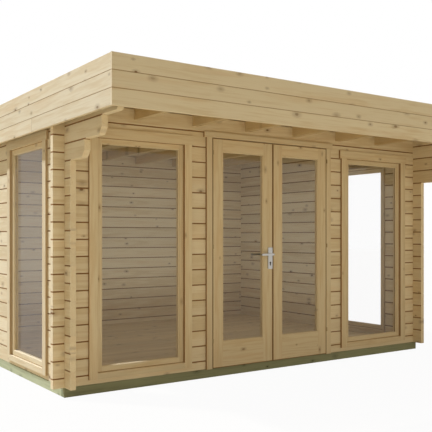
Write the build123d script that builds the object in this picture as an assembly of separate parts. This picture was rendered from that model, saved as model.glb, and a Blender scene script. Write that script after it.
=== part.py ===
# Flat-roof log cabin with planed, cross-notched logs, full-height windows and a glazed double door.
# Millimetres. +X runs to the right along the front, +Y to the back, +Z up.
# The origin is on the ground, below the middle of the roof outline.

from build123d import *
import os

# Plan of the walls, over their outer faces
cabin_width = 3842.0
cabin_depth = 3000.0

# Wall logs
log_height = 125.0
log_thickness = 44.0
log_chamfer = 4.0
log_seam = 0.4
log_projection = 88.0
side_log_projection = 103.0
course_count = 16
base_rise = 8.0

# Foundation and floor
foundation_height = 70.0
foundation_width = 60.0
floor_joist_width = 45.0
floor_joist_count = 5
floor_thickness = 19.0
floor_edge_gap = 3.0

# Corbels: side wall logs that step forward under the roof overhang
corbel_lower = 345.0
corbel_middle = 615.0
corbel_upper = 870.0
corbel_slant_height = 50.0
corbel_slant_length = 40.0

# Roof
front_overhang = 990.0
back_overhang = 150.0
fascia_clearance = 5.0
fascia_thickness = 20.0
fascia_board_height = 107.0
fascia_board_count = 3
fascia_chamfer = 2.5
fascia_rise = 99.5
joist_count = 6
joist_end_distance = 547.0
joist_width = 50.0
joist_bearing_depth = 86.0
deck_lift = 8.0
deck_thickness = 19.0
felt_thickness = 3.0
kerb_width = 28.0
kerb_drop = 6.0

# Windows
window_opening_width = 796.0
window_top_drop = 100.5
window_door_shift = 10.5
side_window_setback = 772.5
window_frame_width = 16.0
window_frame_depth = 60.0
window_sash_stile = 40.0
window_sash_rail = 38.0
window_sash_depth = 40.0
window_sash_setback = 4.0
window_fit = 2.0
window_glass_thickness = 14.0
window_trim_jamb_width = 68.0
window_trim_head_height = 75.0
window_trim_sill_height = 45.0
window_trim_head_overhang = 20.0

# Door
door_leaf_width = 632.0
door_leaf_thickness = 42.0
door_leaf_drop = 45.5
door_gap = 5.0
door_meeting_gap = 8.0
door_stile_width = 100.0
door_top_rail = 100.0
door_bottom_rail = 208.0
door_glass_thickness = 14.0
door_jamb_thickness = 35.0
door_stop_overlap = 10.0
door_threshold_height = 24.0
door_trim_width = 56.0
door_trim_head_height = 46.0
door_trim_head_overhang = 22.0
door_wall_gap = 2.0

# Trim boards, and the seat between pieces that lie on each other
trim_thickness = 18.0
seat = 0.3

# Hinges
hinge_radius = 5.5
hinge_knuckle_length = 17.0
hinge_knuckle_gap = 0.4
hinge_plate_depth = 24.0
hinge_plate_thickness = 1.8
hinge_clearance = 1.0
hinge_bottom_distance = 225.0
hinge_top_distance = 117.0

# Handle
handle_height = 1004.0
handle_setback = 30.0
handle_plate_width = 48.0
handle_plate_above = 60.0
handle_plate_below = 126.0
handle_plate_thickness = 8.0
handle_spindle_size = 8.0
handle_spindle_bore = 9.0
handle_neck_radius = 9.0
handle_neck_clearance = 0.1
handle_standoff = 36.0
handle_lever_length = 130.0
handle_lever_height = 17.0
handle_lever_thickness = 12.0

# Places worked out from the sizes above
roof_depth = front_overhang + cabin_depth + back_overhang
front_y = -roof_depth / 2 + front_overhang
back_y = front_y + cabin_depth
side_x = cabin_width / 2
wall_bottom = foundation_height
base_level = wall_bottom + base_rise
wall_top = base_level + log_height * (course_count + 0.5)
front_joint = base_level + log_height / 2
roof_side_x = side_x + log_projection + fascia_clearance + fascia_thickness
deck_bottom = wall_top + deck_lift
deck_top = deck_bottom + deck_thickness
fascia_top = deck_top + fascia_rise
fascia_bottom = fascia_top - fascia_board_count * fascia_board_height
floor_top = foundation_height + seat + floor_thickness

front_log_y = front_y + log_thickness / 2
back_log_y = back_y - log_thickness / 2
left_log_x = -side_x + log_thickness / 2
right_log_x = side_x - log_thickness / 2
door_half_width = door_meeting_gap / 2 + door_leaf_width + door_gap
door_half_opening = door_half_width + door_jamb_thickness + door_wall_gap
door_opening_top = wall_top - log_height
door_leaf_top = door_opening_top - door_leaf_drop
door_leaf_bottom = foundation_height + door_gap
door_trim_outer = door_half_width + door_trim_width + door_trim_head_overhang
leaf_front_y = front_y - trim_thickness
leaf_back_y = leaf_front_y + door_leaf_thickness
hinge_axis_x = door_half_width - door_gap / 2
hinge_axis_y = leaf_front_y - hinge_radius - hinge_clearance
hinge_low = door_leaf_bottom + hinge_bottom_distance
hinge_high = door_leaf_top - hinge_top_distance
hinge_heights = (hinge_low, (hinge_low + hinge_high) / 2, hinge_high)
handle_x = -door_meeting_gap / 2 - handle_setback

# Windows are hung level with each other on all walls, and the front ones fill the space beside the door
window_bottom = front_joint - base_rise
window_opening_top = door_opening_top - window_top_drop
window_centre_offset = (door_trim_outer + side_x - log_thickness) / 2 - window_door_shift


def block(x_range, y_range, z_range):
    """A plain rectangular piece between three pairs of limits."""
    size = [high - low for low, high in (x_range, y_range, z_range)]
    corner = Pos(x_range[0], y_range[0], z_range[0])
    return corner * Box(*size, align=(Align.MIN, Align.MIN, Align.MIN))


def span(centre, width):
    """The two limits of a width about its centre."""
    return (centre - width / 2, centre + width / 2)


def log_bar(length, height):
    """A planed log along +X, centred on its axis, with its four long edges chamfered."""
    half_t = log_thickness / 2
    half_h = height / 2
    c = log_chamfer
    outline = Polyline(
        (-half_t + c, -half_h),
        (half_t - c, -half_h),
        (half_t, -half_h + c),
        (half_t, half_h - c),
        (half_t - c, half_h),
        (-half_t + c, half_h),
        (-half_t, half_h - c),
        (-half_t, -half_h + c),
        close=True,
    )
    return extrude(Plane.YZ * make_face(outline), amount=length)


def wall_log(along, start, end, middle, bottom, top):
    """A log between start and end, on the line middle across the wall."""
    bar = log_bar(end - start, top - bottom - log_seam)
    height = (bottom + top) / 2
    if along == "x":
        return Pos(start, middle, height) * bar
    return Pos(middle, start, height) * Rot(0, 0, 90) * bar


def notch_cutters(along, crossing, middle, bottom, top):
    """The cross notches of one log where it passes through another wall."""
    reach = log_thickness / 2 + log_seam
    depth = log_height / 4
    across = (middle - log_thickness, middle + log_thickness)
    along_range = (crossing - reach, crossing + reach)
    is_half = top - bottom < log_height * 0.75
    z_ranges = []
    if not (is_half and bottom <= wall_bottom):
        foot = max(bottom, base_level)
        z_ranges.append((bottom - depth, foot + depth + log_seam / 2))
    if not (is_half and top >= wall_top):
        z_ranges.append((top - depth - log_seam / 2, top + depth))
    x_range, y_range = (along_range, across) if along == "x" else (across, along_range)
    return [block(x_range, y_range, z_range) for z_range in z_ranges]


def pieces_between(start, end, gaps):
    """The stretches of a line from start to end that the gaps leave."""
    stretches = []
    place = start
    for low, high in sorted(gaps):
        stretches.append((place, low))
        place = high
    stretches.append((place, end))
    return stretches


def front_courses():
    """Bottom and top of each course of the front and back walls: a half log, then full logs."""
    courses = [(wall_bottom, front_joint)]
    for n in range(course_count):
        courses.append((front_joint + n * log_height, front_joint + (n + 1) * log_height))
    return courses


def side_courses():
    """Bottom and top of each course of the side walls: full logs, then a half log."""
    courses = [(wall_bottom, base_level + log_height)]
    for n in range(1, course_count):
        courses.append((base_level + n * log_height, base_level + (n + 1) * log_height))
    courses.append((wall_top - log_height / 2, wall_top))
    return courses


def log_course(along, ends, middle, crossings, course, openings):
    """One course of a wall, split at each opening that takes its full height and trimmed at the rest."""
    bottom, top = course
    gaps = [(low, high) for low, high, z0, z1 in openings if z0 <= bottom and z1 >= top]
    trims = [o for o in openings if o[3] > bottom and o[2] < top and not (o[2] <= bottom and o[3] >= top)]
    logs = []
    for start, end in pieces_between(ends[0], ends[1], gaps):
        log = wall_log(along, start, end, middle, bottom, top)
        cutters = []
        for crossing in crossings:
            if start < crossing < end:
                cutters += notch_cutters(along, crossing, middle, bottom, top)
        for low, high, z0, z1 in trims:
            across = (middle - log_thickness, middle + log_thickness)
            x_range, y_range = ((low, high), across) if along == "x" else (across, (low, high))
            if start < low and high < end:
                cutters.append(block(x_range, y_range, (z0, z1)))
        for cutter in cutters:
            log = log - cutter
        logs.append(log)
    return logs


def joist_centres():
    """Places across the roof of the joists."""
    first = -side_x + log_thickness + joist_end_distance
    spacing = -2 * first / (joist_count - 1)
    return [first + i * spacing for i in range(joist_count)]


def joist_notched(log):
    """A top log with a seat cut for each joist."""
    for x in joist_centres():
        width = joist_width + 2 * seat
        seat_bottom = wall_top - joist_bearing_depth - seat
        log = log - block(span(x, width), (-roof_depth, roof_depth), (seat_bottom, wall_top + log_height))
    return log


def window_opening(centre, top):
    """Opening limits along a wall, and its bottom and top."""
    low, high = span(centre, window_opening_width)
    return (low, high, window_bottom, top)


def front_wall(side):
    """One half of the front wall, from the corner to the door opening. Side is -1 left, 1 right."""
    corner = side_x + log_projection
    near_door = door_half_opening
    ends = (-corner, -near_door) if side < 0 else (near_door, corner)
    crossing = left_log_x if side < 0 else right_log_x
    opening = window_opening(side * window_centre_offset, window_opening_top)
    logs = []
    for course in front_courses()[:-1]:
        logs += log_course("x", ends, front_log_y, [crossing], course, [opening])
    return logs


def front_top_log():
    """The log that runs over the door and windows and carries the joists."""
    corner = side_x + log_projection
    logs = log_course("x", (-corner, corner), front_log_y, [left_log_x, right_log_x], front_courses()[-1], [])
    return [joist_notched(logs[0])]


def back_wall():
    """The plain back wall, its top log notched for the joists."""
    corner = side_x + log_projection
    logs = []
    for course in front_courses():
        logs += log_course("x", (-corner, corner), back_log_y, [left_log_x, right_log_x], course, [])
    logs[-1] = joist_notched(logs[-1])
    return logs


def corbel_reaches():
    """How far each side wall course comes forward of the front wall, by course number."""
    full = front_overhang - fascia_thickness - fascia_clearance
    return {
        course_count - 3: corbel_lower,
        course_count - 2: corbel_middle,
        course_count - 1: corbel_upper,
        course_count: full,
    }


def slant_cutter(x_middle, tip_y, bottom):
    """The wedge that slants the lower front corner of a corbel."""
    margin = log_thickness
    points = [
        (tip_y - margin, bottom - margin),
        (tip_y + corbel_slant_length, bottom - margin),
        (tip_y + corbel_slant_length, bottom),
        (tip_y, bottom + corbel_slant_height),
        (tip_y - margin, bottom + corbel_slant_height),
    ]
    face = Plane.YZ * make_face(Polyline(*points, close=True))
    return Pos(x_middle - log_thickness, 0, 0) * extrude(face, amount=2 * log_thickness)


def side_wall(side):
    """A side wall with one window and the stepped corbels that carry the roof overhang."""
    x_middle = side * (side_x - log_thickness / 2)
    joints_up = -(-(window_opening_top - base_level) // log_height)
    opening_top = base_level + joints_up * log_height
    opening = window_opening(front_y + side_window_setback, opening_top)
    reaches = corbel_reaches()
    logs = []
    for number, course in enumerate(side_courses()):
        reach = reaches.get(number, side_log_projection)
        ends = (front_y - reach, back_y + side_log_projection)
        course_logs = log_course("y", ends, x_middle, [front_log_y, back_log_y], course, [opening])
        if number in reaches and number < course_count:
            course_logs[0] = course_logs[0] - slant_cutter(x_middle, ends[0], course[0])
        logs += course_logs
    return logs


def foundation():
    """Treated beams under the walls: long ones at the front and back, the others between them."""
    z_range = (0.0, foundation_height - seat)
    full_x = (-side_x, side_x)
    inner_y = (front_y + foundation_width + seat, back_y - foundation_width - seat)
    beams = [
        block(full_x, (front_y, front_y + foundation_width), z_range),
        block(full_x, (back_y - foundation_width, back_y), z_range),
        block((-side_x, -side_x + foundation_width), inner_y, z_range),
        block((side_x - foundation_width, side_x), inner_y, z_range),
    ]
    return {"foundation_beams": beams}


def floor():
    """Joists between the foundation beams, and the boards laid on them."""
    inner_y = (front_y + foundation_width + seat, back_y - foundation_width - seat)
    clear_width = cabin_width - 2 * foundation_width
    spacing = clear_width / (floor_joist_count + 1)
    joists = []
    for i in range(floor_joist_count):
        x = (i - (floor_joist_count - 1) / 2) * spacing
        joists.append(block(span(x, floor_joist_width), inner_y, (0.0, foundation_height)))
    edge = log_thickness + floor_edge_gap
    boards = block(
        (-side_x + edge, side_x - edge),
        (front_y + edge, back_y - edge),
        (foundation_height + seat, floor_top),
    )
    return {"floor_joists": joists, "floor_boards": [boards]}


def roof():
    """Joists in the top logs, the deck on them, a kerb on the deck and the boards round it."""
    inner_x = roof_side_x - fascia_thickness
    inner_front = -roof_depth / 2 + fascia_thickness
    inner_back = roof_depth / 2 - fascia_thickness
    joist_bottom = wall_top - joist_bearing_depth
    joists = []
    for x in joist_centres():
        y_range = (inner_front + seat, inner_back - seat)
        joists.append(block(span(x, joist_width), y_range, (joist_bottom, deck_bottom - seat)))
    deck_x = inner_x - seat
    deck_y = (inner_front + seat, inner_back - seat)
    deck = block((-deck_x, deck_x), deck_y, (deck_bottom, deck_top))
    kerb_z = (deck_top + seat, fascia_top - kerb_drop)
    kerb = [
        block((-deck_x, deck_x), (deck_y[0], deck_y[0] + kerb_width), kerb_z),
        block((-deck_x, deck_x), (deck_y[1] - kerb_width, deck_y[1]), kerb_z),
    ]
    kerb_y = (deck_y[0] + kerb_width + seat, deck_y[1] - kerb_width - seat)
    kerb.append(block((-deck_x, -deck_x + kerb_width), kerb_y, kerb_z))
    kerb.append(block((deck_x - kerb_width, deck_x), kerb_y, kerb_z))
    felt_x = deck_x - kerb_width - seat
    felt = block(
        (-felt_x, felt_x),
        (kerb_y[0], kerb_y[1]),
        (deck_top + seat, deck_top + seat + felt_thickness),
    )
    return {"roof_joists": joists, "roof_deck": [deck], "roof_kerb": kerb, "roof_felt": [felt]}


def fascia_board(length):
    """A board along +X, its outer face on y = 0 looking towards -Y and chamfered on its long edges."""
    height = fascia_board_height - log_seam
    outline = Polyline(
        (0, fascia_chamfer),
        (fascia_chamfer, 0),
        (fascia_thickness, 0),
        (fascia_thickness, height),
        (fascia_chamfer, height),
        (0, height - fascia_chamfer),
        close=True,
    )
    return extrude(Plane.YZ * make_face(outline), amount=length)


def fascia():
    """Three boards on each side of the roof; the side boards run between the front and back ones."""
    front = -roof_depth / 2
    back = roof_depth / 2
    inner_y = (front + fascia_thickness + seat, back - fascia_thickness - seat)
    boards = {"fascia_front": [], "fascia_back": [], "fascia_left": [], "fascia_right": []}
    for n in range(fascia_board_count):
        bottom = fascia_bottom + n * fascia_board_height
        long_board = fascia_board(2 * roof_side_x)
        side_board = fascia_board(inner_y[1] - inner_y[0])
        boards["fascia_front"].append(Pos(-roof_side_x, front, bottom) * long_board)
        boards["fascia_back"].append(Pos(roof_side_x, back, bottom) * Rot(0, 0, 180) * long_board)
        boards["fascia_left"].append(Pos(-roof_side_x, inner_y[1], bottom) * Rot(0, 0, -90) * side_board)
        boards["fascia_right"].append(Pos(roof_side_x, inner_y[0], bottom) * Rot(0, 0, 90) * side_board)
    return boards


def ring(low, high, bottom, top, side_width, sill_height, head_height, depth_range):
    """Two uprights with a sill and a head between them, as loose pieces around a hole, along +X."""
    inner = (low + side_width + seat, high - side_width - seat)
    return [
        block((low, low + side_width), depth_range, (bottom, top)),
        block((high - side_width, high), depth_range, (bottom, top)),
        block(inner, depth_range, (bottom, bottom + sill_height)),
        block(inner, depth_range, (top - head_height, top)),
    ]


def window():
    """A full-height window about x = 0, its outer wall face on y = 0, looking towards -Y."""
    low, high = span(0.0, window_opening_width - 2 * window_fit)
    bottom = window_bottom + window_fit
    top = window_opening_top - window_fit
    frame_y = (0.0, window_frame_depth)
    frame = ring(low, high, bottom, top, window_frame_width, window_frame_width, window_frame_width, frame_y)
    inset = window_frame_width + seat
    sash_y = (window_sash_setback, window_sash_setback + window_sash_depth)
    sash_x = (low + inset, high - inset)
    sash_z = (bottom + inset, top - inset)
    sash = ring(*sash_x, *sash_z, window_sash_stile, window_sash_rail, window_sash_rail, sash_y)
    side_edge = window_sash_stile + seat
    rail_edge = window_sash_rail + seat
    glass_mid = window_sash_setback + window_sash_depth / 2
    glass = block(
        (sash_x[0] + side_edge, sash_x[1] - side_edge),
        span(glass_mid, window_glass_thickness),
        (sash_z[0] + rail_edge, sash_z[1] - rail_edge),
    )
    trim_y = (-trim_thickness, -seat)
    trim_low = sash_x[0] - window_trim_jamb_width
    trim_high = sash_x[1] + window_trim_jamb_width
    trim_bottom = sash_z[0] - window_trim_sill_height
    head_x = (trim_low - window_trim_head_overhang, trim_high + window_trim_head_overhang)
    head_z = (sash_z[1], sash_z[1] + window_trim_head_height)
    jamb_z = (trim_bottom, head_z[0] - seat)
    trim = [
        block((trim_low, sash_x[0]), trim_y, jamb_z),
        block((sash_x[1], trim_high), trim_y, jamb_z),
        block((sash_x[0] + seat, sash_x[1] - seat), trim_y, (trim_bottom, sash_z[0])),
        block(head_x, trim_y, head_z),
    ]
    return {"trim": trim, "frame": frame, "sash": sash, "glass": [glass]}


def placed(shapes, location):
    return [location * shape for shape in shapes]


def windows():
    """Four like windows: two in the front wall and one in each side wall."""
    places = {
        "window_front_left": Pos(-window_centre_offset, front_y, 0),
        "window_front_right": Pos(window_centre_offset, front_y, 0),
        "window_left": Pos(-side_x, front_y + side_window_setback, 0) * Rot(0, 0, -90),
        "window_right": Pos(side_x, front_y + side_window_setback, 0) * Rot(0, 0, 90),
    }
    nodes = {}
    for name, place in places.items():
        for piece, shapes in window().items():
            nodes[f"{name}_{piece}"] = placed(shapes, place)
    return nodes


def door_surround():
    """Lining, stops, threshold and outer trim of the doorway."""
    inner = door_half_width
    head_bottom = door_leaf_top + door_gap
    lining_y = (front_y, front_y + log_thickness)
    stop_y = (leaf_back_y + door_gap, front_y + log_thickness)
    lining_x = inner + door_jamb_thickness
    lining = []
    stops = []
    trim = []
    trim_y = (leaf_front_y, front_y - seat)
    trim_outer = inner + door_trim_width
    stop_width = door_gap + door_stop_overlap
    for side in (-1, 1):
        x_range = sorted((side * inner, side * lining_x))
        lining.append(block(x_range, lining_y, (foundation_height, head_bottom)))
        x_range = sorted((side * (inner - stop_width), side * (inner - seat)))
        stops.append(block(x_range, stop_y, (foundation_height, head_bottom - seat)))
        x_range = sorted((side * inner, side * trim_outer))
        trim.append(block(x_range, trim_y, (foundation_height, head_bottom - seat)))
    head_z = (head_bottom + seat, door_opening_top - seat)
    lining.append(block((-lining_x, lining_x), lining_y, head_z))
    stop_x = inner - stop_width - seat
    stops.append(block((-stop_x, stop_x), stop_y, (head_bottom - stop_width, head_bottom)))
    head_x = door_trim_outer
    trim.append(block((-head_x, head_x), trim_y, (head_bottom, head_bottom + door_trim_head_height)))
    threshold_z = (foundation_height, foundation_height + door_threshold_height)
    threshold = block((-stop_x, stop_x), stop_y, threshold_z)
    return {"door_frame": lining + stops, "door_trim": trim, "door_threshold": [threshold]}


def door_leaf(side):
    """One glazed leaf: stiles, rails and its pane. Side is -1 left, 1 right."""
    low, high = sorted((side * door_meeting_gap / 2, side * (door_meeting_gap / 2 + door_leaf_width)))
    leaf_y = (leaf_front_y, leaf_back_y)
    widths = (door_stile_width, door_bottom_rail, door_top_rail)
    leaf = ring(low, high, door_leaf_bottom, door_leaf_top, *widths, leaf_y)
    if side < 0:
        bore = Pos(handle_x, 0, handle_height) * Rot(90, 0, 0) * Cylinder(handle_spindle_bore, roof_depth)
        leaf = [piece - bore for piece in leaf]
    edge = door_stile_width + seat
    pane = block(
        (low + edge, high - edge),
        span((leaf_front_y + leaf_back_y) / 2, door_glass_thickness),
        (door_leaf_bottom + door_bottom_rail + seat, door_leaf_top - door_top_rail - seat),
    )
    return leaf, [pane]


def hinge_half(side, height, upper):
    """Half a butt hinge, its plate in the gap beside the leaf. The upper half is on the leaf."""
    drop = hinge_knuckle_gap / 2
    z0 = height + drop if upper else height - drop - hinge_knuckle_length
    knuckle = Pos(0, 0, z0) * Cylinder(
        hinge_radius, hinge_knuckle_length, align=(Align.CENTER, Align.CENTER, Align.MIN)
    )
    held_side = -side if upper else side
    face = door_gap / 2 - seat
    x_range = sorted((held_side * face, held_side * (face - hinge_plate_thickness)))
    y_range = (0.0, leaf_front_y - hinge_axis_y + hinge_plate_depth)
    plate = block(x_range, y_range, (z0, z0 + hinge_knuckle_length))
    return Pos(side * hinge_axis_x, hinge_axis_y, 0) * (knuckle + plate)


def hinges():
    """Three hinges on each leaf, each a half on the trim under a half on the leaf."""
    nodes = {"hinges_fixed": [], "hinges_leaf_left": [], "hinges_leaf_right": []}
    for side, name in ((-1, "hinges_leaf_left"), (1, "hinges_leaf_right")):
        for height in hinge_heights:
            nodes["hinges_fixed"].append(hinge_half(side, height, upper=False))
            nodes[name].append(hinge_half(side, height, upper=True))
    return nodes


def handle():
    """Long plates on both faces of the left leaf, and one lever pair on a spindle."""
    plate_z = (handle_height - handle_plate_below, handle_height + handle_plate_above)
    plate_x = span(handle_x, handle_plate_width)
    outer_y = (leaf_front_y - seat - handle_plate_thickness, leaf_front_y - seat)
    inner_y = (leaf_back_y + seat, leaf_back_y + seat + handle_plate_thickness)
    bore_radius = handle_neck_radius + handle_neck_clearance
    bore = Pos(handle_x, 0, handle_height) * Rot(90, 0, 0) * Cylinder(bore_radius, roof_depth)
    plates = [block(plate_x, y_range, plate_z) - bore for y_range in (outer_y, inner_y)]
    arm_outer = outer_y[0] - handle_standoff
    arm_inner = inner_y[1] + handle_standoff
    half = handle_spindle_size / 2
    lever = block(
        (handle_x - half, handle_x + half),
        (outer_y[0], inner_y[1]),
        (handle_height - half, handle_height + half),
    )
    sides = ((outer_y[1], arm_outer, -1), (inner_y[0], arm_inner, 1))
    for neck_start, arm_start, direction in sides:
        neck = Pos(handle_x, (neck_start + arm_start) / 2, handle_height) * Rot(90, 0, 0) * Cylinder(
            handle_neck_radius, abs(arm_start - neck_start)
        )
        arm_end = arm_start + direction * handle_lever_thickness
        length = handle_lever_length + handle_lever_height / 2
        outline = SlotOverall(length, handle_lever_height)
        arm_x = handle_x + handle_lever_height / 2 - length / 2
        arm_place = Pos(arm_x, (arm_start + arm_end) / 2, handle_height)
        arm = arm_place * Rot(90, 0, 0) * extrude(outline, handle_lever_thickness / 2, both=True)
        lever = lever + neck + arm
    return {"handle_plates": plates, "handle_lever": [lever]}


def door():
    """The pair of leaves, with their hinges and handle."""
    nodes = door_surround()
    for side, name in ((-1, "left"), (1, "right")):
        leaf, pane = door_leaf(side)
        nodes[f"door_leaf_{name}"] = leaf
        nodes[f"door_glass_{name}"] = pane
    nodes.update(hinges())
    nodes.update(handle())
    return nodes


def cabin():
    """Every node of the cabin with its solids."""
    nodes = foundation()
    nodes.update(floor())
    nodes["front_wall_left_logs"] = front_wall(-1)
    nodes["front_wall_right_logs"] = front_wall(1)
    nodes["front_top_log"] = front_top_log()
    nodes["back_wall_logs"] = back_wall()
    nodes["left_wall_logs"] = side_wall(-1)
    nodes["right_wall_logs"] = side_wall(1)
    nodes.update(windows())
    nodes.update(door())
    nodes.update(roof())
    nodes.update(fascia())
    return nodes


os.makedirs("parts", exist_ok=True)
for node_name, shapes in cabin().items():
    solids = [solid for shape in shapes for solid in shape.solids()]
    whole = solids[0] if len(solids) == 1 else Compound(children=solids)
    export_step(whole, f"parts/{node_name}.step")
    print(node_name, len(solids))
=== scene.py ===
import math
from collections import namedtuple

import bmesh
import bpy
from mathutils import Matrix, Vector


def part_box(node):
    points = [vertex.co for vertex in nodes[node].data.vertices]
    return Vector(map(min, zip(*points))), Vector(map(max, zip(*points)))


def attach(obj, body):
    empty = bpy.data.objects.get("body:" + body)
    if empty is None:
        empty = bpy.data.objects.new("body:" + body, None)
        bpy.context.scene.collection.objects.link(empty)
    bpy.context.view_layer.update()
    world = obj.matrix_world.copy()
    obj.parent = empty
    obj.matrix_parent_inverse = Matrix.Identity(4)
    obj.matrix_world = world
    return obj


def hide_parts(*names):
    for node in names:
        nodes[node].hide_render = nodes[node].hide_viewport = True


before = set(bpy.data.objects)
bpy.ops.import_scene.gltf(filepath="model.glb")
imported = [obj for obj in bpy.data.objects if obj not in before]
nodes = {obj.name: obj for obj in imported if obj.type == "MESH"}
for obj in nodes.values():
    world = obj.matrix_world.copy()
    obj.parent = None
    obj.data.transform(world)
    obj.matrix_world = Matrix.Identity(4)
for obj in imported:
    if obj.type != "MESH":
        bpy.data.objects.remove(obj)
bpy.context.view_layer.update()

# Sizes that the finish follows, in metres. A pitch or a course is from one board, joist or log to the next
LOG_HEIGHT = 0.125
BASE_RISE = 0.008
FASCIA_BOARD_HEIGHT = 0.107
FASCIA_JOINT_Y = -0.72
FASCIA_JOINT_WIDTH = 0.003
KERB_COURSE = 0.2
ROOF_JOIST_PITCH = 0.532
ROOF_JOIST_LEAD = 0.2
DECK_BOARD = 0.096
DECK_GAP = 0.0006
DECK_BEVEL = 0.004
FELT_SHEET = 1.0
FELT_LAP = 0.08
FELT_LIFT = 0.0032
FELT_BEVEL = 0.0006
FLOOR_BOARD = 0.088
FLOOR_GAP = 0.001
FLOOR_BEVEL = 0.0015
FLOOR_JOIST_PITCH = 0.62
BEAM_WIDTH = 0.06
BEAM_MIDDLE = 0.035
BEAM_CELLS_PER_METRE = 2.0
THRESHOLD_BOARD = 0.1
THRESHOLD_LEAD = 0.03
LINING_GAP = 0.005
LINING_DROP = 0.1
# Width of the rim of painted shade round a sash or door leaf
RIM = 0.005

# Width and height of the glazing beads
WINDOW_BEAD = (0.008, 0.011)
DOOR_BEAD = (0.009, 0.012)

# Where the top logs of a side wall start to step forward, and how far each metre up takes them
CORBEL_FOOT_Y = -1.183
CORBEL_FOOT_Z = 1.703
CORBEL_STEP = 2.04

# First seed of each kind of piece. Pieces of one kind take the numbers after it
SEEDS = {
    "beams": 40,
    "fascia": 300,
    "roof_joists": 400,
    "kerb": 420,
    "deck": 440,
    "floor": 470,
    "floor_joists": 480,
    "windows": 500,
    "door": 600,
    "leaves": 640,
}

# How much of its normal a face needs along an axis to count as facing it, and upwards to count as level
FACES_AXIS = 0.7
FACES_UP = 0.95


def srgb(red, green, blue):
    """A colour written as 0 to 255 values, as the linear values that a shader takes."""
    shares = [value / 255 for value in (red, green, blue)]
    return tuple(v / 12.92 if v < 0.04045 else ((v + 0.055) / 1.055) ** 2.4 for v in shares)


# The last two numbers of a wood are how strongly its seams, gaps, rims and side faces get painted shade, and
# how wide that painted shade is at a seam
Wood = namedtuple("Wood", "pale late warm knot ring_width knot_share bump groove seam")
# Brown that painted shade turns the wood towards
PAINTED_SHADE_BROWN = srgb(152, 100, 34)
SPRUCE = Wood(srgb(238, 222, 188), srgb(213, 186, 136), srgb(227, 198, 155), srgb(112, 68, 28),
              0.0055, 0.74, 0.25, 0.9, 0.0068)
CLEARER_SPRUCE = SPRUCE._replace(knot_share=0.84)
JOINERY = Wood(srgb(230, 213, 177), srgb(213, 185, 137), srgb(227, 197, 153), srgb(120, 76, 34),
               0.004, 0.85, 0.18, 0.75, 0.0)
FASCIA = Wood(srgb(234, 219, 187), srgb(214, 188, 142), srgb(222, 190, 144), srgb(114, 76, 34),
              0.005, 0.74, 0.22, 0.6, 0.003)
ROOF = Wood(srgb(222, 201, 158), srgb(196, 164, 110), srgb(212, 176, 126), srgb(100, 70, 44),
            0.006, 0.74, 0.3, 0.5, 0.0)
TREATED = Wood(srgb(152, 155, 122), srgb(118, 123, 93), srgb(138, 136, 106), srgb(70, 70, 50),
               0.005, 0.7, 0.4, 0.0, 0.0)
# Paler colours of the beams along Y, painted light that stands for the sun on the left side
SIDE_BEAM_LIT_PALE = srgb(200, 203, 166)
SIDE_BEAM_LIT_LATE = srgb(172, 176, 136)

# How strongly the parts of the wood's figure show, from 0 to 1
RING_SHARE = 0.42
STREAK_SHARE = 0.4
CLOUD_SHARE = 0.3
HALO_SHARE = 0.26
CORE_SHARE = 0.9
# How far painted shade darkens the wood, besides turning it brown
SEAM_SHADE = 0.15

# Where streaks and clouds start to show in their noise, and where they show in full
STREAK_FADE = (0.48, 0.75)
CLOUD_FADE = (0.5, 0.72)

# Where a board's pith lies and how its rings waver, in metres
PITH_DRIFT = 0.1
PITH_SPREAD = 0.05
PITH_DEPTH = 0.02
PITH_DEPTH_SPREAD = 0.03
RING_WOBBLE = 0.009
RING_SHARPNESS = 2.5

# Noise scales for each metre along the grain and across it
DRIFT_SCALE = 0.7
WOBBLE_SCALE = (2.5, 28.0)
STREAK_SCALE = (3.0, 90.0)
CLOUD_SCALE = (1.2, 14.0)
RAGGED_SCALE = (60.0, 110.0)

# Strides that give one seed its own place in each noise
DRIFT_STRIDE = 50.0
PITH_STRIDE = 777.0
STREAK_STRIDE = 40.0
CLOUD_STRIDE = 19.0
TONE_STRIDE = 313.0
KNOT_STRIDE = (91.0, 57.0)
DRIFT_DEPTH = 3.1

# Tone and gloss of the wood
LEAST_TONE = 0.94
TONE_SPREAD = 0.1
END_TONE = 1.05
BUMP_DEPTH = 0.0012
RING_BUMP = 0.3
STREAK_BUMP = 0.7
CORE_BUMP = 0.3
WOOD_ROUGHNESS = 0.6
STREAK_ROUGHNESS = 0.25
WOOD_SHEEN = 0.12

# Knots: the cell that may hold one, along and across, then its radius, edge and halo
KNOT_CELL = (0.26, 0.062)
KNOT_SCATTER = 0.85
KNOT_SQUEEZE = 0.55
KNOT_RADIUS = 0.004
KNOT_GROWTH = 0.034
LEAST_KNOT = 0.15
RAGGED_EDGE = 0.009
CORE_EDGE = 0.45
HALO_REACH = 3.0
HALO_EDGE = 0.8

# Share of a seam's width that is fully dark with painted shade
SEAM_CORE = 0.45

# Sockets of a mix node that is set to colours
MIX_FACTOR = 0
MIX_FIRST = 6
MIX_SECOND = 7
MIX_RESULT = 2


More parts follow.
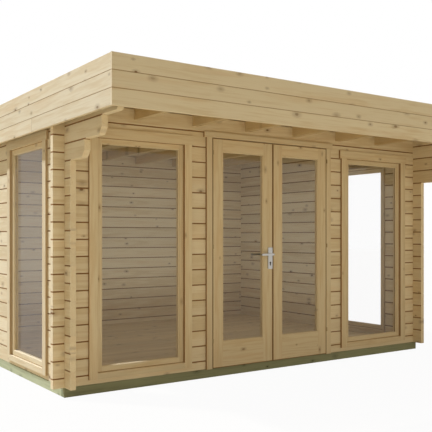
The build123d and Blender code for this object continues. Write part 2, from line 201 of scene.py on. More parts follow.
class Shader:
    """A node material in the making. Sockets are passed about like values."""

    def __init__(self, name):
        self.material = bpy.data.materials.new(name)
        self.material.use_nodes = True
        self.tree = self.material.node_tree
        self.surface = self.tree.nodes["Principled BSDF"]
        coordinates = self.tree.nodes.new("ShaderNodeTexCoord")
        self.place = self.split(coordinates.outputs["Object"])
        self.facing = self.split(coordinates.outputs["Normal"])

    def fill(self, socket, value):
        """Links a socket to another, or sets it to a colour or a number."""
        if isinstance(value, bpy.types.NodeSocket):
            self.tree.links.new(value, socket)
        elif isinstance(value, tuple):
            socket.default_value = (*value, 1.0)
        else:
            socket.default_value = value

    def split(self, vector):
        node = self.tree.nodes.new("ShaderNodeSeparateXYZ")
        self.fill(node.inputs[0], vector)
        return list(node.outputs)

    def combine(self, x, y, z):
        node = self.tree.nodes.new("ShaderNodeCombineXYZ")
        for socket, value in zip(node.inputs, (x, y, z)):
            self.fill(socket, value)
        return node.outputs[0]

    def math(self, operation, *values):
        node = self.tree.nodes.new("ShaderNodeMath")
        node.operation = operation
        for socket, value in zip(node.inputs, values):
            self.fill(socket, value)
        return node.outputs[0]

    def add(self, first, second):
        return self.math("ADD", first, second)

    def times(self, first, second):
        return self.math("MULTIPLY", first, second)

    def fade(self, value, low, high):
        """0 where the value is at low and 1 where it is at high, smooth between them."""
        node = self.tree.nodes.new("ShaderNodeMapRange")
        node.interpolation_type = "SMOOTHSTEP"
        for socket, part in zip(node.inputs, (value, low, high)):
            self.fill(socket, part)
        return node.outputs[0]

    def within(self, value, low, high):
        """1 where the value lies between low and high, and 0 elsewhere."""
        above = self.math("GREATER_THAN", value, low)
        return self.times(above, self.math("LESS_THAN", value, high))

    def choose(self, switch, off, on):
        """One of two numbers, by a switch that is 0 or 1."""
        return self.add(self.times(switch, on), self.times(self.math("SUBTRACT", 1.0, switch), off))

    def noise(self, x, y, z, detail=3.0, roughness=0.5):
        node = self.tree.nodes.new("ShaderNodeTexNoise")
        self.fill(node.inputs["Vector"], self.combine(x, y, z))
        node.inputs["Scale"].default_value = 1.0
        node.inputs["Detail"].default_value = detail
        node.inputs["Roughness"].default_value = roughness
        return node.outputs[0]

    def chance(self, number):
        """A random number from 0 to 1 that belongs to a whole number."""
        node = self.tree.nodes.new("ShaderNodeTexWhiteNoise")
        node.noise_dimensions = "1D"
        self.fill(node.inputs["W"], number)
        return node.outputs["Value"]

    def mix(self, factor, first, second):
        node = self.tree.nodes.new("ShaderNodeMix")
        node.data_type = "RGBA"
        self.fill(node.inputs[MIX_FACTOR], factor)
        self.fill(node.inputs[MIX_FIRST], first)
        self.fill(node.inputs[MIX_SECOND], second)
        return node.outputs[MIX_RESULT]

    def shade(self, colour, amount):
        """A colour made darker or paler by a factor."""
        node = self.tree.nodes.new("ShaderNodeVectorMath")
        node.operation = "SCALE"
        self.fill(node.inputs[0], colour)
        self.fill(node.inputs["Scale"], amount)
        return node.outputs[0]

    def bump(self, height, strength, distance):
        node = self.tree.nodes.new("ShaderNodeBump")
        self.fill(node.inputs["Height"], height)
        node.inputs["Strength"].default_value = strength
        node.inputs["Distance"].default_value = distance
        self.fill(self.surface.inputs["Normal"], node.outputs[0])

    def set(self, **values):
        """Fills sockets of the surface by name and returns the material."""
        for name, value in values.items():
            self.fill(self.surface.inputs[name.replace("_", " ")], value)
        return self.material


def knots(shader, along, across, seed, share):
    """How much of a knot is at a point, and how much of the stained wood round it."""
    u = shader.add(shader.math("DIVIDE", along, KNOT_CELL[0]), shader.times(seed, KNOT_STRIDE[0]))
    v = shader.add(shader.math("DIVIDE", across, KNOT_CELL[1]), shader.times(seed, KNOT_STRIDE[1]))
    node = shader.tree.nodes.new("ShaderNodeTexVoronoi")
    node.voronoi_dimensions = "2D"
    shader.fill(node.inputs["Vector"], shader.combine(u, v, 0.0))
    node.inputs["Scale"].default_value = 1.0
    node.inputs["Randomness"].default_value = KNOT_SCATTER
    centre = shader.split(node.outputs["Position"])
    along_gap = shader.times(shader.math("SUBTRACT", u, centre[0]), KNOT_CELL[0] * KNOT_SQUEEZE)
    across_gap = shader.times(shader.math("SUBTRACT", v, centre[1]), KNOT_CELL[1])
    square = shader.add(shader.times(along_gap, along_gap), shader.times(across_gap, across_gap))
    place = (shader.times(along, RAGGED_SCALE[0]), shader.times(across, RAGGED_SCALE[1]), seed)
    ragged = shader.math("SUBTRACT", shader.noise(*place, 2.0), 0.5)
    gap = shader.add(shader.math("SQRT", square), shader.times(ragged, RAGGED_EDGE))
    luck = shader.split(node.outputs["Color"])
    spare = shader.math("SUBTRACT", luck[0], share)
    present = shader.math("GREATER_THAN", spare, 0.0)
    radius = shader.add(KNOT_RADIUS, shader.times(shader.math("MAXIMUM", spare, 0.0), KNOT_GROWTH))
    vivid = shader.times(shader.math("POWER", luck[1], 2.0), 1.0 - LEAST_KNOT)
    strength = shader.times(present, shader.add(LEAST_KNOT, vivid))
    core = shader.times(strength, shader.fade(gap, radius, shader.times(radius, CORE_EDGE)))
    reach = shader.times(radius, HALO_REACH)
    halo = shader.times(present, shader.fade(gap, reach, shader.times(radius, HALO_EDGE)))
    return core, halo


def ring_wave(shader, wood, along, across, depth, seed):
    """Growth rings round a pith that drifts along the board, 1 in the late wood."""
    place = (shader.times(along, DRIFT_SCALE), shader.times(seed, DRIFT_STRIDE), DRIFT_DEPTH)
    drift = shader.math("SUBTRACT", shader.noise(*place), 0.5)
    luck = shader.chance(shader.times(seed, PITH_STRIDE))
    shift = shader.times(shader.math("SUBTRACT", luck, 0.5), PITH_SPREAD)
    pith_across = shader.add(shader.add(across, shader.times(drift, PITH_DRIFT)), shift)
    pith_depth = shader.add(depth, shader.add(PITH_DEPTH, shader.times(seed, PITH_DEPTH_SPREAD)))
    square = shader.add(shader.times(pith_across, pith_across), shader.times(pith_depth, pith_depth))
    fine = [shader.times(across, WOBBLE_SCALE[1]), shader.times(depth, WOBBLE_SCALE[1])]
    wobble = shader.times(shader.noise(shader.times(along, WOBBLE_SCALE[0]), *fine), RING_WOBBLE)
    radius = shader.add(shader.math("SQRT", square), wobble)
    wave = shader.math("SINE", shader.times(radius, 2 * math.pi / wood.ring_width))
    return shader.math("POWER", shader.add(shader.times(wave, 0.5), 0.5), RING_SHARPNESS)


def wood_surface(shader, wood, along, across, depth, seed, end_facing, groove=0.0):
    """Growth rings, streaks and knots of a board, from its own three axes in metres, and painted shade by a
    mask.
    """
    rings = ring_wave(shader, wood, along, across, depth, seed)
    start = shader.add(shader.times(along, STREAK_SCALE[0]), shader.times(seed, STREAK_STRIDE))
    fine = (shader.times(across, STREAK_SCALE[1]), shader.times(depth, STREAK_SCALE[1]))
    streak = shader.noise(start, *fine, 4.0, 0.6)
    slow = shader.add(shader.times(along, CLOUD_SCALE[0]), shader.times(seed, CLOUD_STRIDE))
    broad = (shader.times(across, CLOUD_SCALE[1]), shader.times(depth, CLOUD_SCALE[1]))
    cloud = shader.noise(slow, *broad, 2.0)
    core, halo = knots(shader, along, across, seed, wood.knot_share)
    colour = shader.mix(shader.times(rings, RING_SHARE), wood.pale, wood.late)
    colour = shader.mix(shader.times(shader.fade(streak, *STREAK_FADE), STREAK_SHARE), colour, wood.late)
    colour = shader.mix(shader.times(shader.fade(cloud, *CLOUD_FADE), CLOUD_SHARE), colour, wood.warm)
    colour = shader.mix(shader.times(halo, HALO_SHARE), colour, wood.knot)
    colour = shader.mix(shader.times(core, CORE_SHARE), colour, wood.knot)
    # Painted shade: where the mask is, the wood turns browner and darker
    colour = shader.mix(shader.times(groove, wood.groove), colour, PAINTED_SHADE_BROWN)
    luck = shader.chance(shader.times(seed, TONE_STRIDE))
    tone = shader.add(LEAST_TONE, shader.times(luck, TONE_SPREAD))
    is_end = shader.math("GREATER_THAN", shader.math("ABSOLUTE", end_facing), FACES_AXIS)
    tone = shader.times(tone, shader.choose(is_end, 1.0, END_TONE))
    tone = shader.times(tone, shader.math("SUBTRACT", 1.0, shader.times(groove, wood.groove * SEAM_SHADE)))
    rough = shader.math("SUBTRACT", shader.times(streak, STREAK_BUMP), shader.times(core, CORE_BUMP))
    shader.bump(shader.add(shader.times(rings, RING_BUMP), rough), wood.bump, BUMP_DEPTH)
    roughness = shader.add(WOOD_ROUGHNESS, shader.times(streak, STREAK_ROUGHNESS))
    toned = shader.shade(colour, tone)
    return shader.set(Base_Color=toned, Roughness=roughness, Specular_IOR_Level=WOOD_SHEEN)


def below_corbels(shader):
    """1 where a side wall has logs under its logs, and 0 where they step forward over nothing."""
    above = shader.math("MAXIMUM", shader.math("SUBTRACT", shader.place[2], CORBEL_FOOT_Z), 0.0)
    reach = shader.math("SUBTRACT", CORBEL_FOOT_Y, shader.times(above, CORBEL_STEP))
    return shader.math("GREATER_THAN", shader.place[1], reach)


def courses_wood(name, wood, axis, base, top, height, seed, stepped=False, butt_joint=None):
    """Boards or logs along one axis, 0 for X or 1 for Y, stacked up from a base.

    Seams get painted shade, but stepped logs show none where nothing lies under them. A butt joint parts the
    lowest board with a slit of painted shade.
    """
    shader = Shader(name)
    z = shader.place[2]
    length = shader.place[axis]
    level = shader.math("FLOOR", shader.math("DIVIDE", shader.math("SUBTRACT", z, base), height))
    number = shader.math("MAXIMUM", level, 0.0)
    middle = shader.add(shader.times(shader.add(number, 0.5), height), base)
    across = shader.math("SUBTRACT", z, middle)
    # Painted shade in the seams between courses, and in the slit of a butt joint
    groove = 0.0
    if wood.seam:
        from_seam = shader.math("SUBTRACT", height / 2, shader.math("ABSOLUTE", across))
        upright = shader.math("LESS_THAN", shader.math("ABSOLUTE", shader.facing[2]), FACES_UP)
        stacked = shader.times(upright, shader.within(z, base + height / 2, top - height / 4))
        groove = shader.times(stacked, shader.fade(from_seam, wood.seam, wood.seam * SEAM_CORE))
    if stepped:
        groove = shader.times(groove, below_corbels(shader))
    piece = number
    if butt_joint is not None:
        lowest = shader.math("LESS_THAN", number, 0.5)
        beyond = shader.times(lowest, shader.math("GREATER_THAN", length, butt_joint))
        piece = shader.add(number, shader.times(beyond, 0.5))
        half_slit = FASCIA_JOINT_WIDTH / 2
        slit = shader.times(lowest, shader.within(length, butt_joint - half_slit, butt_joint + half_slit))
        groove = shader.math("MAXIMUM", groove, slit)
    luck = shader.chance(shader.add(piece, seed))
    depth = shader.place[1 - axis]
    return wood_surface(shader, wood, length, across, depth, luck, shader.facing[axis], groove)


def laid_wood(name, wood, axis, pitch, start, seed):
    """Boards or joists that lie flat side by side, each along one axis."""
    shader = Shader(name)
    side = shader.math("SUBTRACT", shader.place[1 - axis], start)
    number = shader.math("FLOOR", shader.math("DIVIDE", side, pitch))
    across = shader.math("SUBTRACT", side, shader.times(shader.add(number, 0.5), pitch))
    luck = shader.chance(shader.add(number, seed))
    return wood_surface(shader, wood, shader.place[axis], across, shader.place[2], luck, shader.facing[axis])


def framed_wood(name, wood, axis, opening, seed, head_runs_over=False, painted_side_shade=0.0, outline=None):
    """Uprights with rails between them round an opening, each piece with its own grain.

    The faces that look along the opening's axis are painted darker, as painted shade, by the share given for
    the sides. An outline is a box whose rim is painted darker, as painted shade.
    """
    low, high = opening
    shader = Shader(name)
    u = shader.place[axis]
    z = shader.place[2]
    between = shader.within(u, low[axis], high[axis])
    above = shader.math("GREATER_THAN", z, high[2])
    below = shader.math("LESS_THAN", z, low[2])
    if head_runs_over:
        level = shader.math("MAXIMUM", above, shader.times(between, below))
    else:
        level = shader.times(between, shader.math("MAXIMUM", above, below))
    right = shader.math("GREATER_THAN", u, (low[axis] + high[axis]) / 2)
    upright_edge = shader.choose(right, low[axis], high[axis])
    level_edge = shader.choose(above, low[2], high[2])
    along = shader.choose(level, z, u)
    from_upright = shader.math("SUBTRACT", u, upright_edge)
    from_level = shader.math("SUBTRACT", z, level_edge)
    across = shader.choose(level, from_upright, from_level)
    number = shader.choose(level, right, shader.add(above, 2.0))
    luck = shader.chance(shader.add(number, seed))
    end_facing = shader.choose(level, shader.facing[2], shader.facing[axis])
    # Painted shade on the side faces, and on a rim along the outline
    groove = 0.0
    if painted_side_shade:
        is_side = shader.math("GREATER_THAN", shader.math("ABSOLUTE", shader.facing[axis]), FACES_AXIS)
        groove = shader.times(is_side, painted_side_shade)
    if outline:
        inner_u = shader.within(u, outline[0][axis] + RIM, outline[1][axis] - RIM)
        inner_z = shader.within(z, outline[0].z + RIM, outline[1].z - RIM)
        rim = shader.math("SUBTRACT", 1.0, shader.times(inner_u, inner_z))
        groove = shader.math("MAXIMUM", groove, rim)
    return wood_surface(shader, wood, along, across, shader.place[1 - axis], luck, end_facing, groove)


def beam_wood():
    """Treated foundation timbers: the front and back ones along X, the others along Y and painted paler, as
    painted light.
    """
    shader = Shader("treated_timber")
    low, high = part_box("foundation_beams")
    x, y, z = shader.place
    side_beam = shader.within(y, low.y + BEAM_WIDTH, high.y - BEAM_WIDTH)
    along = shader.choose(side_beam, x, y)
    depth = shader.choose(side_beam, y, x)
    cell = shader.math("FLOOR", shader.times(depth, BEAM_CELLS_PER_METRE))
    luck = shader.chance(shader.add(cell, float(SEEDS["beams"])))
    end_facing = shader.choose(side_beam, shader.facing[0], shader.facing[1])
    # Beams along Y are painted paler, as painted light
    timber = TREATED._replace(pale=shader.mix(side_beam, TREATED.pale, SIDE_BEAM_LIT_PALE),
                              late=shader.mix(side_beam, TREATED.late, SIDE_BEAM_LIT_LATE))
    return wood_surface(shader, timber, along, shader.add(z, -BEAM_MIDDLE), depth, luck, end_facing)


def glass(name, mirrored):
    """A thin clear pane. Each of its faces mirrors the share given and lets the rest through."""
    waves_per_metre = 3.0
    shader = Shader(name)
    waves = shader.noise(*[shader.times(v, waves_per_metre) for v in shader.place])
    shader.bump(waves, 0.02, 0.01)
    return shader.set(Base_Color=srgb(240, 242, 248), Metallic=1.0, Roughness=0.03, Alpha=mirrored)


def steel(name, colour, roughness):
    """Steel with fine level brush lines."""
    lines_along = 200.0
    lines_up = 2600.0
    shader = Shader(name)
    x, y, z = shader.place
    level = (shader.times(x, lines_along), shader.times(y, lines_along))
    brush = shader.noise(*level, shader.times(z, lines_up), 2.0)
    shader.bump(brush, 0.12, 0.0003)
    shade = shader.add(roughness, shader.times(brush, 0.12))
    return shader.set(Base_Color=colour, Metallic=1.0, Roughness=shade)


def felt():
    """Roofing felt with a coat of slate grains."""
    grains_per_metre = 420.0
    clouds_per_metre = 2.2
    shader = Shader("roofing_felt")
    grain = shader.noise(*[shader.times(v, grains_per_metre) for v in shader.place], 3.0, 0.7)
    cloud = shader.noise(*[shader.times(v, clouds_per_metre) for v in shader.place], 3.0)
    colour = shader.mix(shader.fade(grain, 0.35, 0.7), srgb(66, 63, 60), srgb(116, 112, 106))
    colour = shader.mix(shader.times(cloud, 0.35), colour, srgb(90, 88, 82))
    shader.bump(grain, 0.7, 0.002)
    return shader.set(Base_Color=colour, Roughness=0.92)


def plain_dark(name, dark, light):
    """A dull dark surface with faint specks."""
    specks_per_metre = 300.0
    shader = Shader(name)
    speck = shader.noise(*[shader.times(v, specks_per_metre) for v in shader.place])
    colour = shader.mix(speck, dark, light)
    return shader.set(Base_Color=colour, Roughness=0.6)


def clothe(names, material):
    """Gives a material to the slots of the CAD nodes named."""
    for name in names:
        for slot in nodes[name].material_slots:
            slot.material = material


def new_piece(name, mesh_builder, material, body, replaced=()):
    """A mesh piece that rides on a body and stands for the CAD nodes named."""
    mesh = bpy.data.meshes.new(name)
    maker = bmesh.new()
    mesh_builder(maker)
    bmesh.ops.recalc_face_normals(maker, faces=maker.faces)
    maker.to_mesh(mesh)
    maker.free()
    mesh.materials.append(material)
    piece = bpy.data.objects.new(name, mesh)
    bpy.context.scene.collection.objects.link(piece)
    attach(piece, body)
    if replaced:
        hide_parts(*replaced)


def add_box(maker, low, high, bevel=0.0):
    """A box between two corners, its edges cut by a small bevel."""
    made = bmesh.ops.create_cube(maker, size=1.0)
    for vertex in made["verts"]:
        for axis in range(3):
            vertex.co[axis] = low[axis] if vertex.co[axis] < 0 else high[axis]
    if bevel:
        edges = {edge for vertex in made["verts"] for edge in vertex.link_edges}
        bmesh.ops.bevel(maker, geom=list(edges), offset=bevel, segments=1, affect="EDGES")


def add_boards(maker, box, pitch, gap, bevel):
    """Boards along X that fill a box from front to back."""
    low, high = box
    count = max(1, round((high.y - low.y) / pitch))
    width = (high.y - low.y) / count
    for number in range(count):
        start = low.y + number * width
        add_box(maker, (low.x, start + gap / 2, low.z), (high.x, start + width - gap / 2, high.z), bevel)


def add_felt(maker, box, sheet_width, lap, lift):
    """Felt sheets along X, each lapped over the one before it."""
    low, high = box
    start = low.y
    number = 0
    while start < high.y - lap:
        end = min(start + sheet_width, high.y)
        rise = lift * number
        add_box(maker, (low.x, start, low.z + rise), (high.x, end, high.z + rise), FELT_BEVEL)
        start = end - lap
        number = 1 - number


def thin_axis(box):
    """The axis, 0 for X or 1 for Y, that a pane faces."""
    low, high = box
    return 0 if high.x - low.x < high.y - low.y else 1


# Outline of a bead as shares of its width and height
BEAD_PROFILE = ((0.0, 0.0), (1.0, 0.0), (1.0, 0.3), (0.85, 0.62), (0.55, 0.88), (0.2, 1.0), (0.0, 1.0))


def add_bead(maker, box, face, outward, width, height):
    """A moulded bead round a pane, mitred at its corners."""
    low, high = box
    axis = thin_axis(box)
    across = 1 - axis
    middle = (low[across] + high[across]) / 2
    half = (high[across] - low[across]) / 2
    centre_z = (low.z + high.z) / 2
    half_z = (high.z - low.z) / 2
    loops = []
    for side_u, side_z in ((-1, -1), (1, -1), (1, 1), (-1, 1)):
        loop = []
        for inset, rise in BEAD_PROFILE:
            point = [0.0, 0.0, centre_z + side_z * (half_z - inset * width)]
            point[across] = middle + side_u * (half - inset * width)
            point[axis] = face + outward * rise * height
            loop.append(maker.verts.new(point))
        loops.append(loop)
    for one, other in zip(loops, loops[1:] + loops[:1]):
        for n in range(len(BEAD_PROFILE)):
            after = (n + 1) % len(BEAD_PROFILE)
            maker.faces.new((one[n], one[after], other[after], other[n]))


def add_beads(maker, box, width, height):
    """Beads on both faces of a pane."""
    axis = thin_axis(box)
    add_bead(maker, box, box[0][axis], -1, width, height)
    add_bead(maker, box, box[1][axis], 1, width, height)


def add_disc(maker, centre, radius, thickness):
    """A flat round disc facing along Y."""
    sides = 28
    turned = bmesh.ops.create_cone(maker, cap_ends=True, segments=sides, radius1=radius, radius2=radius,
                                   depth=thickness)
    for vertex in turned["verts"]:
        x, y, z = vertex.co
        vertex.co = (centre[0] + x, centre[1] + z, centre[2] + y)


# Walls: the axis that each one's logs lie along, the foot of their courses and a seed
wall_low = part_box("left_wall_logs")[0]
side_base = wall_low.z + BASE_RISE
front_base = side_base - LOG_HEIGHT / 2
log_walls = {
    "front_wall_left_logs": (0, front_base, 10),
    "front_wall_right_logs": (0, front_base, 140),
    "front_top_log": (0, front_base, 60),
    "back_wall_logs": (0, front_base, 80),
    "left_wall_logs": (1, side_base, 200),
    "right_wall_logs": (1, side_base, 230),
}
wall_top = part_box("front_top_log")[1].z
for wall, (axis, base, seed) in log_walls.items():
    wood = CLEARER_SPRUCE if wall == "back_wall_logs" else SPRUCE
    logs = courses_wood("logs_of_" + wall, wood, axis, base, wall_top, LOG_HEIGHT, seed, stepped=axis == 1)
    clothe([wall], logs)

# Fascia
fascia_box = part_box("fascia_front")
for number, (side, axis) in enumerate((("front", 0), ("back", 0), ("left", 1), ("right", 1))):
    name = "fascia_" + side
    joint = FASCIA_JOINT_Y if side == "left" else None
    boards = courses_wood("boards_of_" + name, FASCIA, axis, fascia_box[0].z, fascia_box[1].z,
                          FASCIA_BOARD_HEIGHT, SEEDS["fascia"] + 10 * number, butt_joint=joint)
    clothe([name], boards)

# Roof and floor
joists_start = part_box("roof_joists")[0].x - ROOF_JOIST_LEAD
joist_wood = laid_wood("roof_joist_wood", ROOF, 1, ROOF_JOIST_PITCH, joists_start, SEEDS["roof_joists"])
clothe(["roof_joists"], joist_wood)
kerb_low, kerb_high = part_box("roof_kerb")
kerb_wood = courses_wood("kerb_wood", ROOF, 0, kerb_low.z, kerb_high.z, KERB_COURSE, SEEDS["kerb"])
clothe(["roof_kerb"], kerb_wood)
deck_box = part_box("roof_deck")
deck_wood = laid_wood("deck_board_wood", ROOF, 0, DECK_BOARD, deck_box[0].y, SEEDS["deck"])
new_piece("deck_boards", lambda m: add_boards(m, deck_box, DECK_BOARD, DECK_GAP, DECK_BEVEL), deck_wood,
          "cabin", ["roof_deck"])
floor_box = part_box("floor_boards")
floor_wood = laid_wood("floor_board_wood", ROOF, 0, FLOOR_BOARD, floor_box[0].y, SEEDS["floor"])
new_piece("floor_planks", lambda m: add_boards(m, floor_box, FLOOR_BOARD, FLOOR_GAP, FLOOR_BEVEL), floor_wood,
          "cabin", ["floor_boards"])
felt_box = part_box("roof_felt")
new_piece("felt_sheets", lambda m: add_felt(m, felt_box, FELT_SHEET, FELT_LAP, FELT_LIFT), felt(),
          "cabin", ["roof_felt"])
clothe(["foundation_beams"], beam_wood())
floor_joist_wood = laid_wood("floor_joist_wood", TREATED, 1, FLOOR_JOIST_PITCH, 0.0, SEEDS["floor_joists"])
clothe(["floor_joists"], floor_joist_wood)

# Glass, with the sashes, linings and trims round it. The first two are the shares that a pane mirrors
CLEAR_SHARE = 0.02
LEFT_SHARE = 0.08
# Share of painted shade on the side faces of the side windows' trims
SIDE_TRIM_SHADE = 0.5
clear_glass = glass("clear_glass", CLEAR_SHARE)
left_glass = glass("left_glass", LEFT_SHARE)
for number, name in enumerate(("window_front_left", "window_front_right", "window_left", "window_right")):
    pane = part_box(name + "_glass")
    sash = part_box(name + "_sash")
    axis = 1 - thin_axis(pane)
    in_front = axis == 0
    seed = SEEDS["windows"] + 20 * number
    clothe([name + "_glass"], left_glass if name == "window_left" else clear_glass)
    # Sash sides in the front wall, all trim sides and all sash rims get painted shade
    sash_wood = framed_wood(name + "_sash_wood", JOINERY, axis, pane, seed,
                            painted_side_shade=float(in_front), outline=sash)
    clothe([name + "_sash"], sash_wood)
    clothe([name + "_frame"], framed_wood(name + "_frame_wood", JOINERY, axis, sash, seed + 5))
    trim_wood = framed_wood(name + "_trim_wood", JOINERY, axis, sash, seed + 10,
                            head_runs_over=True, painted_side_shade=1.0 if in_front else SIDE_TRIM_SHADE)
    clothe([name + "_trim"], trim_wood)
    bead_wood = framed_wood(name + "_bead_wood", JOINERY, axis, pane, seed + 15)
    new_piece(name + "_beads", lambda m: add_beads(m, pane, *WINDOW_BEAD), bead_wood, "cabin")

# Door
leaves_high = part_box("door_leaf_left")[1].z
left_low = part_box("door_leaf_left")[0]
right_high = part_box("door_leaf_right")[1]
lining_edge = (Vector((left_low.x - LINING_GAP, left_low.y, left_low.z - LINING_DROP)),
               Vector((right_high.x + LINING_GAP, right_high.y, leaves_high + LINING_GAP)))
seed = SEEDS["door"]
# The door trim's side faces get painted shade
door_trim_wood = framed_wood("door_trim_wood", JOINERY, 0, lining_edge, seed,
                             head_runs_over=True, painted_side_shade=1.0)
clothe(["door_trim"], door_trim_wood)
door_frame_wood = framed_wood("door_frame_wood", JOINERY, 0, lining_edge, seed + 10, head_runs_over=True)
clothe(["door_frame"], door_frame_wood)
threshold_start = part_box("door_threshold")[0].y - THRESHOLD_LEAD
clothe(["door_threshold"], laid_wood("threshold_wood", ROOF, 0, THRESHOLD_BOARD, threshold_start, seed + 20))
for number, side in enumerate(("left", "right")):
    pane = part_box("door_glass_" + side)
    seed = SEEDS["leaves"] + 20 * number
    body = "door_" + side
    clothe(["door_glass_" + side], clear_glass)
    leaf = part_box("door_leaf_" + side)
    # The rim of each leaf gets painted shade
    clothe(["door_leaf_" + side], framed_wood("leaf_wood_" + side, JOINERY, 0, pane, seed, outline=leaf))
    bead_wood = framed_wood("leaf_bead_wood_" + side, JOINERY, 0, pane, seed + 10)
    new_piece("door_beads_" + side, lambda m: add_beads(m, pane, *DOOR_BEAD), bead_wood, body)

# Ironmongery
LEVER_ABOVE_FOOT = 0.126
LOCK_BELOW_LEVER = 0.072
CYLINDER_RADIUS = 0.0085
CYLINDER_DEPTH = 0.002
CYLINDER_HALF_NECK = 0.005
CYLINDER_DROP = 0.024
CYLINDER_BEVEL = 0.0004
SLIT_PROUD = 0.0021
SLIT_HALF_SIZE = Vector((0.0011, 0.0004, 0.0045))
satin_steel = steel("satin_steel", srgb(180, 176, 168), 0.3)
hinge_steel = steel("hinge_steel", srgb(172, 148, 106), 0.42)
clothe(["handle_plates", "handle_lever"], satin_steel)
clothe(["hinges_fixed", "hinges_leaf_left", "hinges_leaf_right"], hinge_steel)


def add_lock_cylinder(maker, plate, centre_z):
    """The round-topped profile of a lock cylinder on both faces of the door."""
    middle = (plate[0].x + plate[1].x) / 2
    half = CYLINDER_DEPTH / 2
    for y in (plate[0].y - half, plate[1].y + half):
        add_disc(maker, (middle, y, centre_z), CYLINDER_RADIUS, CYLINDER_DEPTH)
        low = (middle - CYLINDER_HALF_NECK, y - half, centre_z - CYLINDER_DROP)
        high = (middle + CYLINDER_HALF_NECK, y + half, centre_z)
        add_box(maker, low, high, CYLINDER_BEVEL)


def add_lock_slit(maker, plate, centre_z):
    """The slit for the key, on both faces of the cylinder, as a near-black box of painted shade."""
    middle = (plate[0].x + plate[1].x) / 2
    for y in (plate[0].y - SLIT_PROUD, plate[1].y + SLIT_PROUD):
        centre = Vector((middle, y, centre_z))
        add_box(maker, centre - SLIT_HALF_SIZE, centre + SLIT_HALF_SIZE)


plate_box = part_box("handle_plates")
lock_height = plate_box[0].z + LEVER_ABOVE_FOOT - LOCK_BELOW_LEVER
lock_dark = plain_dark("lock_dark", srgb(70, 64, 56), srgb(92, 86, 76))
# Near-black painted shade for the key slit
slit_shade = plain_dark("slit_shade", srgb(20, 20, 20), srgb(34, 33, 32))
new_piece("lock_cylinder", lambda m: add_lock_cylinder(m, plate_box, lock_height), lock_dark,
          "door_left")
new_piece("lock_slit", lambda m: add_lock_slit(m, plate_box, lock_height), slit_shade,
          "door_left")


# Floor, light and camera, with lamps in watts and angles in degrees
FLOOR_SIZE = 80.0
CAMERA_PLACE = (-3.893, -5.831, 1.172)
CAMERA_TURN = 34.785
IMAGE_SIZE = 432
FOCAL_PIXELS = 698.3
HORIZON_PIXEL = 235.1
SENSOR = 36.0
FLOOR_COLOUR = (0.62, 0.515, 0.345)
FLOOR_GLOW = 0.96
FILL_COLOUR = (1.0, 0.9, 0.73, 1.0)
FILL_STRENGTH = 0.325
SUN_FROM = Vector((-1.0, 1.2, 2.27))
SUN_STRENGTH = 4.6
SUN_COLOUR = (0.71, 0.81, 1.0)
SUN_WIDTH = 3.0
ROOM_SIZE = (3.0, 2.2)
COOL_WHITE = (0.7, 0.85, 1.0)
Lamp = namedtuple("Lamp", "name place aim size energy colour")
LAMPS = (
    Lamp("front_lamp", (0.8, -11.0, 2.6), (0.0, -1.0, 1.0), (7.0, 3.0), 57.5, (1.0, 0.9, 0.7)),
    Lamp("low_lamp", (0.3, -3.0, 0.2), (0.3, -1.0, 0.25), (5.0, 0.3), 5.2, (1.0, 0.95, 0.85)),
    Lamp("room_lamp", (0.0, 0.42, 2.02), (0.0, 0.42, 0.0), ROOM_SIZE, 4.5, COOL_WHITE),
    Lamp("ceiling_lamp", (0.0, 0.42, 0.3), (0.0, 0.42, 2.0), ROOM_SIZE, 7.5, COOL_WHITE),
)


def seen_directly(tree):
    """1 for what the camera, gloss and glass see, and 0 for light that falls on things."""
    path = tree.nodes.new("ShaderNodeLightPath")
    total = path.outputs["Is Camera Ray"]
    for name in ("Is Glossy Ray", "Is Transmission Ray"):
        node = tree.nodes.new("ShaderNodeMath")
        node.operation = "MAXIMUM"
        tree.links.new(total, node.inputs[0])
        tree.links.new(path.outputs[name], node.inputs[1])
        total = node.outputs[0]
    return total


def make_floor():
    """A plain floor that is seen as almost white and still takes the shadow of the cabin."""
    mesh = bpy.data.meshes.new("floor")
    half = FLOOR_SIZE / 2
    corners = [(-half, -half, 0.0), (half, -half, 0.0), (half, half, 0.0), (-half, half, 0.0)]
    mesh.from_pydata(corners, [], [(0, 1, 2, 3)])
    floor = bpy.data.objects.new("floor", mesh)
    bpy.context.scene.collection.objects.link(floor)
    shader = Shader("studio_floor")
    shader.set(Base_Color=FLOOR_COLOUR, Roughness=0.9)
    glow = shader.tree.nodes.new("ShaderNodeEmission")
    share = shader.times(seen_directly(shader.tree), FLOOR_GLOW)
    blend = shader.tree.nodes.new("ShaderNodeMixShader")
    output = shader.tree.nodes["Material Output"]
    shader.fill(blend.inputs[0], share)
    shader.tree.links.new(shader.surface.outputs[0], blend.inputs[1])
    shader.tree.links.new(glow.outputs[0], blend.inputs[2])
    shader.tree.links.new(blend.outputs[0], output.inputs["Surface"])
    mesh.materials.append(shader.material)


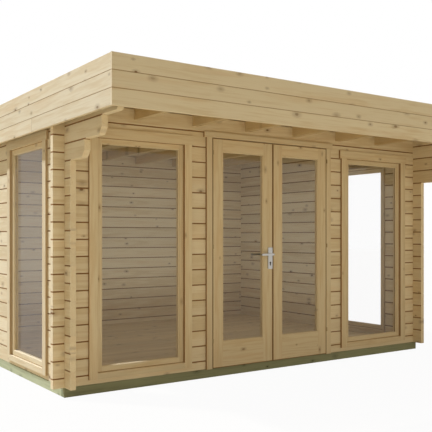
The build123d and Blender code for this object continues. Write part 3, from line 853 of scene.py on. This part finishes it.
def make_world():
    """A dim warm light from all round, seen as plain white."""
    world = bpy.data.worlds.new("studio")
    world.use_nodes = True
    tree = world.node_tree
    fill = tree.nodes["Background"]
    fill.inputs["Color"].default_value = FILL_COLOUR
    fill.inputs["Strength"].default_value = FILL_STRENGTH
    white = tree.nodes.new("ShaderNodeBackground")
    white.inputs["Color"].default_value = (1.0, 1.0, 1.0, 1.0)
    blend = tree.nodes.new("ShaderNodeMixShader")
    tree.links.new(seen_directly(tree), blend.inputs[0])
    tree.links.new(fill.outputs[0], blend.inputs[1])
    tree.links.new(white.outputs[0], blend.inputs[2])
    tree.links.new(blend.outputs[0], tree.nodes["World Output"].inputs["Surface"])
    bpy.context.scene.world = world


def make_sun():
    """The cool main light, from high up to the left and the back."""
    light = bpy.data.lights.new("sun", "SUN")
    light.energy = SUN_STRENGTH
    light.color = SUN_COLOUR
    light.angle = math.radians(SUN_WIDTH)
    sun = bpy.data.objects.new("sun", light)
    sun.rotation_mode = "QUATERNION"
    sun.rotation_quaternion = SUN_FROM.to_track_quat("Z", "Y")
    bpy.context.scene.collection.objects.link(sun)


def make_soft_lamp(lamp):
    """A soft box that gives light without being seen itself."""
    light = bpy.data.lights.new(lamp.name, "AREA")
    light.shape = "RECTANGLE"
    light.size, light.size_y = lamp.size
    light.energy = lamp.energy
    light.color = lamp.colour
    box = bpy.data.objects.new(lamp.name, light)
    box.location = lamp.place
    box.rotation_mode = "QUATERNION"
    box.rotation_quaternion = (Vector(lamp.place) - Vector(lamp.aim)).to_track_quat("Z", "Y")
    box.visible_camera = False
    box.visible_glossy = False
    box.visible_transmission = False
    bpy.context.scene.collection.objects.link(box)


def make_camera():
    """A level camera with the horizon moved off the middle of the picture."""
    data = bpy.data.cameras.new("camera")
    data.sensor_width = SENSOR
    data.lens = SENSOR * FOCAL_PIXELS / IMAGE_SIZE
    data.shift_y = (HORIZON_PIXEL - IMAGE_SIZE / 2) / IMAGE_SIZE
    camera = bpy.data.objects.new("camera", data)
    camera.location = CAMERA_PLACE
    camera.rotation_euler = (math.radians(90), 0.0, math.radians(-CAMERA_TURN))
    bpy.context.scene.collection.objects.link(camera)
    bpy.context.scene.camera = camera


make_floor()
make_world()
make_sun()
for lamp in LAMPS:
    make_soft_lamp(lamp)
make_camera()
bpy.context.scene.view_settings.view_transform = "Standard"
